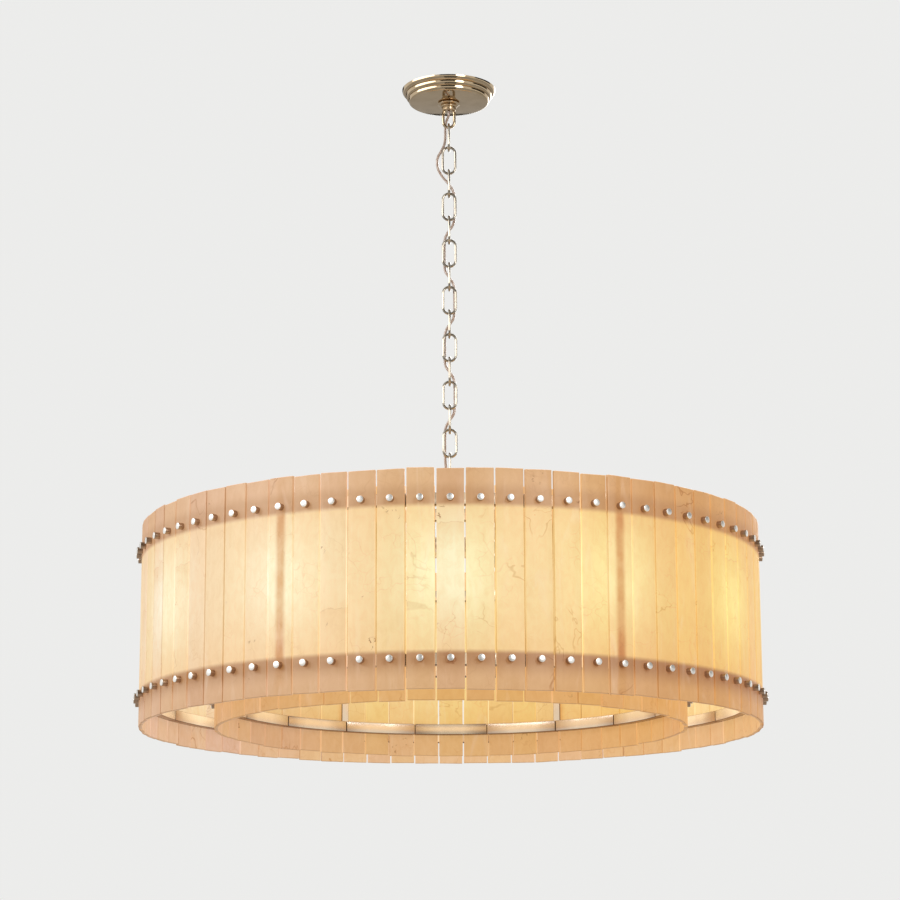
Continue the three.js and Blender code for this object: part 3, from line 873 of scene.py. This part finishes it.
def jacketMaterial():  # pinkish strands under a clear jacket
    material, tree, shader, place = startMaterial("clearJacket")
    strands = stretched(tree, place, jacketLook["strandStretch"])
    strands = cloud(tree, strands, jacketLook["strandScale"], jacketLook["strandDetail"],
                    jacketLook["strandRoughness"])
    tone = ramp(tree, strands, *jacketLook["toneEdges"])
    plug(tree, shader.inputs["Base Color"], mixed(tree, tone, *jacketLook["tones"]))
    spread, least = jacketLook["roughSpread"], jacketLook["roughLeast"]
    plug(tree, shader.inputs["Roughness"], calc(tree, "MULTIPLY_ADD", strands, spread, least))
    shader.inputs["Coat Weight"].default_value = jacketLook["coat"]
    shader.inputs["Coat Roughness"].default_value = jacketLook["coatRoughness"]
    plug(tree, shader.inputs["Normal"], bumped(tree, strands, *jacketLook["bump"]))
    return material


def cordTube():
    curve = bpy.data.curves.new("cordRoute", "CURVE")
    curve.dimensions = "3D"
    curve.bevel_depth = cordLook["diameter"] / 2 / 1000
    curve.bevel_resolution = cordLook["sides"]
    curve.resolution_u = cordLook["smooth"]
    curve.use_fill_caps = True
    spline = curve.splines.new("BEZIER")
    spline.bezier_points.add(len(cordRoute) - 1)
    for point, place in zip(spline.bezier_points, cordRoute):
        point.co = Vector(place) / 1000
        point.handle_left_type = point.handle_right_type = "AUTO"
    carrier = bpy.data.objects.new("cordRoute", curve)
    scene.collection.objects.link(carrier)
    seen = carrier.evaluated_get(bpy.context.evaluated_depsgraph_get())
    tube = bpy.data.meshes.new_from_object(seen)
    bpy.data.objects.remove(carrier)
    return tube


def cutOff(bm, height, side):  # what is on that side of the height goes, and the end is closed
    cut = bmesh.ops.bisect_plane(bm, geom=everything(bm), plane_co=(0, 0, height), plane_no=(0, 0, side),
                                 clear_outer=True)
    bmesh.ops.holes_fill(bm, edges=edgesIn(cut["geom_cut"]), sides=0)


def addCord():  # cut at each link's middle, one stretch for each pair of neighbours
    tube = cordTube()
    links = ["link_%02d" % n for n in range(1, chainLook["links"] + 1)]
    middles = [sum(c.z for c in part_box("chain_" + name)) / 2 for name in links]
    bodies = ["ceiling"] + links + ["drum"]
    jacket = jacketMaterial()
    for i, (first, second) in enumerate(zip(bodies, bodies[1:])):
        bm = bmesh.new()
        bm.from_mesh(tube)
        if i > 0:
            cutOff(bm, middles[i - 1], 1)
        if i < len(middles):
            cutOff(bm, middles[i], -1)
        closeUp(bm)
        piece = newPiece("cord%02d" % (i + 1), bm, jacket, nodes=["supply_cord"])
        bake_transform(piece)
    bpy.data.meshes.remove(tube)
    print("cord done")


# tiles, each a little uneven: how far its width, place, ends and faces stray, the scale of the
# noise that does it, and how much light each kind of face shows
drums = {
    "outer": {"face": 0.610, "count": 72, "gap": 0.0038, "back": 0.603, "stone": "outerAlabaster"},
    "inner": {"face": 0.463, "count": 54, "gap": 0.0038, "back": 0.456, "stone": "innerAlabaster"},
}
tileLook = {
    "panels": 6, "rows": 9, "columns": 2, "bevel": 0.0007, "bevelFrom": 60, "sharp": 45, "rim": 0.001,
    "width": 0.0006, "shift": 0.0004, "end": 0.0022, "topShares": (-1, 0.2), "bottomShares": (0, 1),
    "tilt": 0.0010, "wave": 0.0004, "endWave": 60, "sideWaveAcross": 9, "sideWaveAlong": 14,
    "swell": 0.00012, "swellWave": 12, "randomSeed": 17, "seeds": 40,
    "cleftShare": 0.22, "cleftShares": (-0.38, 0.3), "noCleft": 9, "sideDrift": 0.26,
    # painted highlights on tops and top arrises, painted shade on undersides and lower arrises
    "shade": {
        "front": 1, "side": 1, "under": 0.7, "over": 1.3, "arris": 1.12, "topArris": 1.9, "lowArris": 0.6,
    },
    "flat": 0.9, "frontFlat": 0.97, "lean": 0.2,  # of a normal, for a face to count as one of these
}


def oneTile(drum, low, high, chance):
    width = 2 * drum["face"] * math.tan(math.pi / drum["count"]) - drum["gap"]
    width += chance.uniform(-1, 1) * tileLook["width"]
    tall = high - low
    bm = bmesh.new()
    bmesh.ops.create_cube(bm, size=1)
    bmesh.ops.scale(bm, verts=bm.verts, vec=(width, drum["face"] - drum["back"], tall))
    upright = [e for e in bm.edges if abs(e.verts[0].co.z - e.verts[1].co.z) > tall / 2]
    bmesh.ops.subdivide_edges(bm, edges=upright, cuts=tileLook["rows"], use_grid_fill=True)
    level = [e for e in bm.edges if abs(e.verts[0].co.x - e.verts[1].co.x) > width / 2]
    bmesh.ops.subdivide_edges(bm, edges=level, cuts=tileLook["columns"], use_grid_fill=True)
    seed = Vector([chance.uniform(0, tileLook["seeds"]) for _ in range(3)])
    makeUneven(bm, seed, width, tall, chance)
    bevelSharp(bm, tileLook["bevel"], tileLook["bevelFrom"])
    middle = (low + high) / 2
    markTile(bm, seed, middle, tall, chance)
    aside = chance.uniform(-1, 1) * tileLook["shift"]
    return moved(bm, (aside, -(drum["face"] + drum["back"]) / 2, middle))


def makeUneven(bm, seed, width, tall, chance):
    ends = [chance.uniform(*tileLook[name]) * tileLook["end"] for name in ("topShares", "bottomShares")]
    tilts = [chance.uniform(-1, 1) * tileLook["tilt"] for _ in range(2)]
    across, along = tileLook["sideWaveAcross"], tileLook["sideWaveAlong"]
    for v in bm.verts:
        x, y, z = v.co
        end = 0 if z > 0 else 1
        if abs(z) > tall / 2 - tileLook["rim"]:
            wave = noise.noise(seed + v.co * tileLook["endWave"]) * tileLook["wave"]
            v.co.z += ends[end] + tilts[end] * x / width + wave
        if abs(x) > width / 2 - tileLook["rim"]:
            v.co.x += noise.noise(seed + Vector((x * across, 0, z * along))) * tileLook["wave"]
        if y < 0:
            v.co.y += noise.noise(seed - v.co * tileLook["swellWave"]) * tileLook["swell"]


def markTile(bm, seed, middle, tall, chance):
    sides = [1 + chance.uniform(-1, 1) * tileLook["sideDrift"] for _ in range(2)]

    def shadeOf(face):
        kind = faceKind(face.normal)
        share = sides[face.normal.x > 0] if kind == "side" else 1
        return tileLook["shade"][kind] * share

    marked(bm.faces, "tileShade", shadeOf)
    cleft = tileLook["noCleft"]
    if chance.random() < tileLook["cleftShare"]:
        cleft = middle + chance.uniform(*tileLook["cleftShares"]) * tall
    marks = {"tileTone": chance.uniform(-1, 1), "tileWarmth": chance.uniform(-1, 1), "tileCleft": cleft}
    for name, value in marks.items():
        marked(bm.verts, name, value)
    place = bm.verts.layers.float_vector.new("tileSeed")
    for v in bm.verts:
        v[place] = seed


def faceKind(normal):  # from a face's direction, before the tile is turned into place
    if abs(normal.z) > tileLook["flat"]:
        return "over" if normal.z > 0 else "under"
    if abs(normal.x) > tileLook["flat"]:
        return "side"
    if abs(normal.y) > tileLook["frontFlat"]:
        return "front"
    if abs(normal.z) > tileLook["lean"]:
        return "topArris" if normal.z > 0 else "lowArris"
    return "arris"


def addTiles():
    chance = random.Random(tileLook["randomSeed"])
    panels = tileLook["panels"]
    for name, drum in drums.items():
        step = 360 / drum["count"]
        perPanel = drum["count"] // panels
        stone = stoneMaterial(drum["stone"])
        for i in range(panels):
            node = name + "_tile_panel_" + str(i + 1)
            low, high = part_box(node)
            panel = bmesh.new()
            for j in range(perPanel):
                tile = oneTile(drum, low.z, high.z, chance)
                joined(panel, turnedTo(tile, (j - perPanel // 2) * step + i * 360 / panels))
            newPiece(name + "Tiles" + str(i + 1), panel, stone, "drum", [node],
                     sharp=tileLook["sharp"])
    print("tiles done")


# rings of straight bars, posts and studs. Lean is how far a normal tips up or down, or on a post
# sideways, before the face gets painted shade as one, and an end faces outward by less than endFacing.
ringLook = {
    "height": 0.022, "depth": 0.018, "bars": 18, "gap": 0.002, "bevel": 0.0011, "seat": 0.0003,
    "posts": 6, "postTurn": 30, "postWidth": 0.015, "postThick": 0.004, "postSink": 0.001,
    "postBevel": 0.0006, "postHighlight": 0.75, "topShade": 0.5, "lean": 0.25, "endFacing": 0.85,
}
studLook = {"radius": 0.0064, "length": 0.0115, "sides": 14, "bevel": 0.0011, "flat": 0.9, "rimLean": 0.3}


def ringBars(drum, middle):
    step = math.tau / drum["count"]
    tiles = drum["count"] // ringLook["bars"]
    outer = (drum["back"] - ringLook["seat"]) / math.cos(step / 2)
    inner = (drum["back"] - ringLook["seat"] - ringLook["depth"]) / math.cos(step / 2)
    low, high = middle - ringLook["height"] / 2, middle + ringLook["height"] / 2
    bm = bmesh.new()
    corners = [(inner, low), (outer, low), (outer, high), (inner, high)]
    face = bm.faces.new([bm.verts.new((0, -radius, z)) for radius, z in corners])
    trim = ringLook["gap"] / outer
    span = tiles * step
    start = trim / 2 - step * ((tiles - 1) // 2 + 0.5)
    bmesh.ops.rotate(bm, verts=bm.verts, cent=(0, 0, 0), matrix=Matrix.Rotation(start, 3, "Z"))
    bmesh.ops.spin(bm, geom=[face], cent=(0, 0, 0), axis=(0, 0, 1), angle=span - trim, steps=tiles)
    bevelSharp(closeUp(bm), ringLook["bevel"])

    def shadeOf(face):  # painted shade: ends and undersides are dark, and the top is half as dark
        outward = face.calc_center_median().xy.normalized()
        isUpright = abs(face.normal.z) < ringLook["lean"]
        isEnd = isUpright and abs(face.normal.xy.dot(outward)) < ringLook["endFacing"]
        if isEnd or face.normal.z < -ringLook["lean"]:
            return 1
        return ringLook["topShade"] if face.normal.z > ringLook["lean"] else 0

    def highlightOf(vert):  # painted highlight, brightest at the middle of a bar
        aside = math.atan2(vert.co.x, -vert.co.y) - start - (span - trim) / 2
        return max(0, 1 - 2 * abs(aside) / span)

    marked(bm.faces, "paintedMetalShade", shadeOf)
    marked(bm.verts, "paintedMetalHighlight", highlightOf)
    return repeated(bm, ringLook["bars"])


def posts(drum, foot, top):
    reach = drum["back"] - ringLook["seat"] - ringLook["depth"] / 2
    wide, thick = ringLook["postWidth"] / 2, ringLook["postThick"] / 2
    post = block((-wide, -reach - thick, foot), (wide, -reach + thick, top), ringLook["postBevel"])
    # painted shade on the posts' sides
    marked(post.faces, "paintedMetalShade", lambda face: 1 if abs(face.normal.x) > ringLook["lean"] else 0)
    # painted highlight over the whole post
    marked(post.verts, "paintedMetalHighlight", ringLook["postHighlight"])
    return repeated(turnedTo(post, ringLook["postTurn"]), ringLook["posts"])


def studRow(drum, z):
    bm = bmesh.new()
    bmesh.ops.create_cone(bm, cap_ends=True, segments=studLook["sides"], radius1=studLook["radius"],
                          radius2=studLook["radius"], depth=studLook["length"])
    top = [f for f in bm.faces if f.normal.z > studLook["flat"]]
    bmesh.ops.bevel(bm, geom=list(top[0].edges), offset=studLook["bevel"], affect="EDGES", segments=2,
                    profile=0.5, material=-1)
    # painted shade on the studs' sides
    marked(bm.faces, "paintedMetalShade", lambda face: 1 if abs(face.normal.z) < studLook["rimLean"] else 0)
    moved(turnedTo(bm, 90, "X"), (0, -drum["face"] - studLook["length"] / 2, z))
    return repeated(bm, drum["count"])


def addFrames():
    half = ringLook["height"] / 2
    for name, drum in drums.items():
        for row in ("top", "bottom"):
            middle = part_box("inner_" + row + "_ring")[0].z + half
            bm = ringBars(drum, middle)
            if row == "bottom":
                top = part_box("inner_top_ring")[0].z - ringLook["seat"]
                joined(bm, posts(drum, middle + half - ringLook["postSink"], top))
            place = name + row.capitalize()
            newPiece(place + "Ring", bm, metals["ringNickel"], "drum",
                     [name + "_" + row + "_ring"])
            newPiece(place + "Studs", studRow(drum, middle), metals["studNickel"],
                     "drum")
    print("rings and studs done")


# hub, its nut, the lower ring on a stem, and six arms with screw heads. Shares are of the rim's
# radius, and the nut's are beside heights above its foot.
hubLook = {
    "bore": 0.0093, "footShare": 0.62, "flareShare": 0.70, "flareHeight": 0.005, "rimHeight": 0.006,
    "rimTop": [(0, -0.002), (-0.002, 0)], "topLoops": (0.016, 0.013), "rounding": 0.0008, "steps": 72,
}
nutLook = {
    "curveShares": [(0.3, 0.0006), (0.72, 0.004), (0.95, 0.010)], "rim": 0.003, "rounding": 0.0015,
    "steps": 48,
}
armLook = {
    "count": 6, "turn": 30, "half": 0.0013, "bevel": 0.0005,
    "hubScrew": 0.016, "outerScrew": 0.009, "innerScrew": 0.0093, "screwRounding": 0.0006,
    "screw": [(0, 0.0022), (0.0024, 0.0020), (0.0036, 0.0005), (0.0036, 0), (0, 0)], "screwSteps": 16,
}


def addHub():
    low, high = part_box("hub")
    bore, rim = hubLook["bore"], high.y
    outline = [(bore, low.z), (rim * hubLook["footShare"], low.z),
               (rim * hubLook["flareShare"], low.z + hubLook["flareHeight"])]
    outline += [(rim, low.z + hubLook["rimHeight"])] + corner(rim, high.z, hubLook["rimTop"])
    outline += [(radius, high.z) for radius in hubLook["topLoops"]] + [(bore, high.z), (bore, low.z)]
    disc = turned(rounded(outline, hubLook["rounding"]), hubLook["steps"])
    newPiece("hubDisc", disc, metals["ringNickel"], "drum", ["hub"])

    low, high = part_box("hub_nut")
    rim = high.y
    outline = [(0, low.z)] + [(rim * share, low.z + up) for share, up in nutLook["curveShares"]]
    outline += [(rim, high.z - nutLook["rim"]), (rim, high.z), (0, high.z)]
    finial = turned(rounded(outline, nutLook["rounding"]), nutLook["steps"])
    newPiece("hubFinial", finial, metals["ringNickel"], "drum", ["hub_nut"])

    low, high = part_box("drum_eye")
    stem, foot = eyeLook["stem"], high.z - eyeLook["height"]
    ring = wireOval(Vector((low.x, 0, foot)), Vector((high.x, 0, high.z)), eyeLook["wire"], seam=False)
    shoulder = foot + eyeLook["stemRise"]
    outline = [(0, shoulder), (stem * eyeLook["stemNeckShare"], shoulder)]
    outline += [(stem, shoulder - eyeLook["stemSlope"])] + corner(stem, low.z, eyeLook["stemEnd"])
    outline.append((0, low.z))
    joined(ring, turned(rounded(outline, eyeLook["rounding"]), eyeLook["stemSteps"]))
    newPiece("liftingRing", ring, metals["chainNickel"], "drum", ["drum_eye"])
    addArms()
    print("hub and arms done")


def addArms():
    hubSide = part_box("hub")[1].y + ringLook["seat"]
    reach = drums["outer"]["back"] - ringLook["seat"]
    low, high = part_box("arm_1")
    half = armLook["half"]
    places = (hubSide + armLook["hubScrew"], reach - armLook["outerScrew"],
              drums["inner"]["back"] - armLook["innerScrew"])
    for i in range(armLook["count"]):
        arm = block((-half, -reach, low.z), (half, -hubSide, high.z), armLook["bevel"])
        for place in places:
            cap = turned(rounded(armLook["screw"], armLook["screwRounding"]), armLook["screwSteps"])
            joined(arm, moved(turnedTo(cap, 90, "Y"), (half, -place, (low.z + high.z) / 2)))
        turnedTo(arm, armLook["turn"] + 360 / armLook["count"] * i)
        newPiece("arm" + str(i + 1), arm, metals["ringNickel"], "drum",
                 ["arm_" + str(i + 1)])


# lamp ring with a rod and a holder at each bulb. The holder's corners are ways from its upper or its
# lower edge, and the bulb's outline is in shares of its half width and of its length.
lampLook = {
    "count": 12, "width": 0.024, "thick": 0.006, "rod": 0.005, "rodLength": 0.066, "rounding": 0.001,
    "holder": 0.013, "holderLength": 0.048, "neckShare": 0.72, "ringSteps": 144, "holderSteps": 28,
    "holderTop": [(0, -0.004), (0, -0.012)], "holderEnd": [(0, 0.002), (-0.001, 0)],
    "groove": [(-0.0008, -0.0126), (-0.0008, -0.0146), (0, -0.0152)], "holderRounding": 0.0006,
}
bulbLook = {
    "outlineShares": [
        (0, 0), (0.62, 0), (0.64, -0.12), (0.78, -0.24), (0.97, -0.38), (1.0, -0.5), (0.93, -0.66),
        (0.72, -0.82), (0.4, -0.94), (0.16, -0.99), (0, -1),
    ],
    "rounding": 0.006, "steps": 28, "cloudScale": 40, "strength": 0.9,
    "roughSpread": 0.2, "roughLeast": 0.25, "tones": ((0.86, 0.80, 0.66, 1), (0.78, 0.70, 0.54, 1)),
    "glow": ((1.0, 0.88, 0.62, 1), (1.0, 0.80, 0.48, 1)),
}


def bulbMaterial():
    material, tree, shader, place = startMaterial("frostedGlow")
    tone = cloud(tree, place, bulbLook["cloudScale"])
    plug(tree, shader.inputs["Base Color"], mixed(tree, tone, *bulbLook["tones"]))
    plug(tree, shader.inputs["Emission Color"], mixed(tree, tone, *bulbLook["glow"]))
    shader.inputs["Emission Strength"].default_value = bulbLook["strength"]
    spread, least = bulbLook["roughSpread"], bulbLook["roughLeast"]
    plug(tree, shader.inputs["Roughness"], calc(tree, "MULTIPLY_ADD", tone, spread, least))
    return material


def addLamps():
    bulbLow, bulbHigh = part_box("bulb_01")
    radius = -(bulbLow.y + bulbHigh.y) / 2
    count = lampLook["count"]
    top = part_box("lamp_ring")[1].z
    under = top - lampLook["thick"]
    inner, outer = radius - lampLook["width"] / 2, radius + lampLook["width"] / 2
    outline = [(inner, under), (outer, under), (outer, top), (inner, top), (inner, under)]
    bm = turned(rounded(outline, lampLook["rounding"]), lampLook["ringSteps"])
    joined(bm, repeated(moved(oneHolder(top, under), (0, -radius, 0)), count))
    newPiece("lampRing", bm, metals["lampNickel"], "drum", ["lamp_ring"])

    glass = bulbMaterial()
    wide, long = (bulbHigh.y - bulbLow.y) / 2, bulbHigh.z - bulbLow.z
    outline = [(out * wide, bulbHigh.z + down * long) for out, down in bulbLook["outlineShares"]]
    outline = rounded(outline, bulbLook["rounding"])
    for i in range(count):
        bulb = turnedTo(moved(turned(outline, bulbLook["steps"]), (0, -radius, 0)), 360 / count * i)
        newPiece("bulb%02d" % (i + 1), bulb, glass, "drum", ["bulb_%02d" % (i + 1)])
    print("lamps done")


def oneHolder(top, under):
    rod, cup = lampLook["rod"], lampLook["holder"]
    start = under - lampLook["rodLength"]
    end = start - lampLook["holderLength"]
    inRing = top - lampLook["thick"] / 2
    outline = [(0, inRing), (rod, inRing), (rod, start), (cup * lampLook["neckShare"], start)]
    outline += corner(cup, start, lampLook["holderTop"] + lampLook["groove"])
    outline += corner(cup, end, lampLook["holderEnd"]) + [(0, end)]
    return turned(rounded(outline, lampLook["holderRounding"]), lampLook["holderSteps"])


metals = {name: metalMaterial(name) for name in metalLooks}
addCamera()
addStudio()
addCord()
addCanopy()
addCeilingParts()
addChain()
addTiles()
addFrames()
addHub()
addLamps()
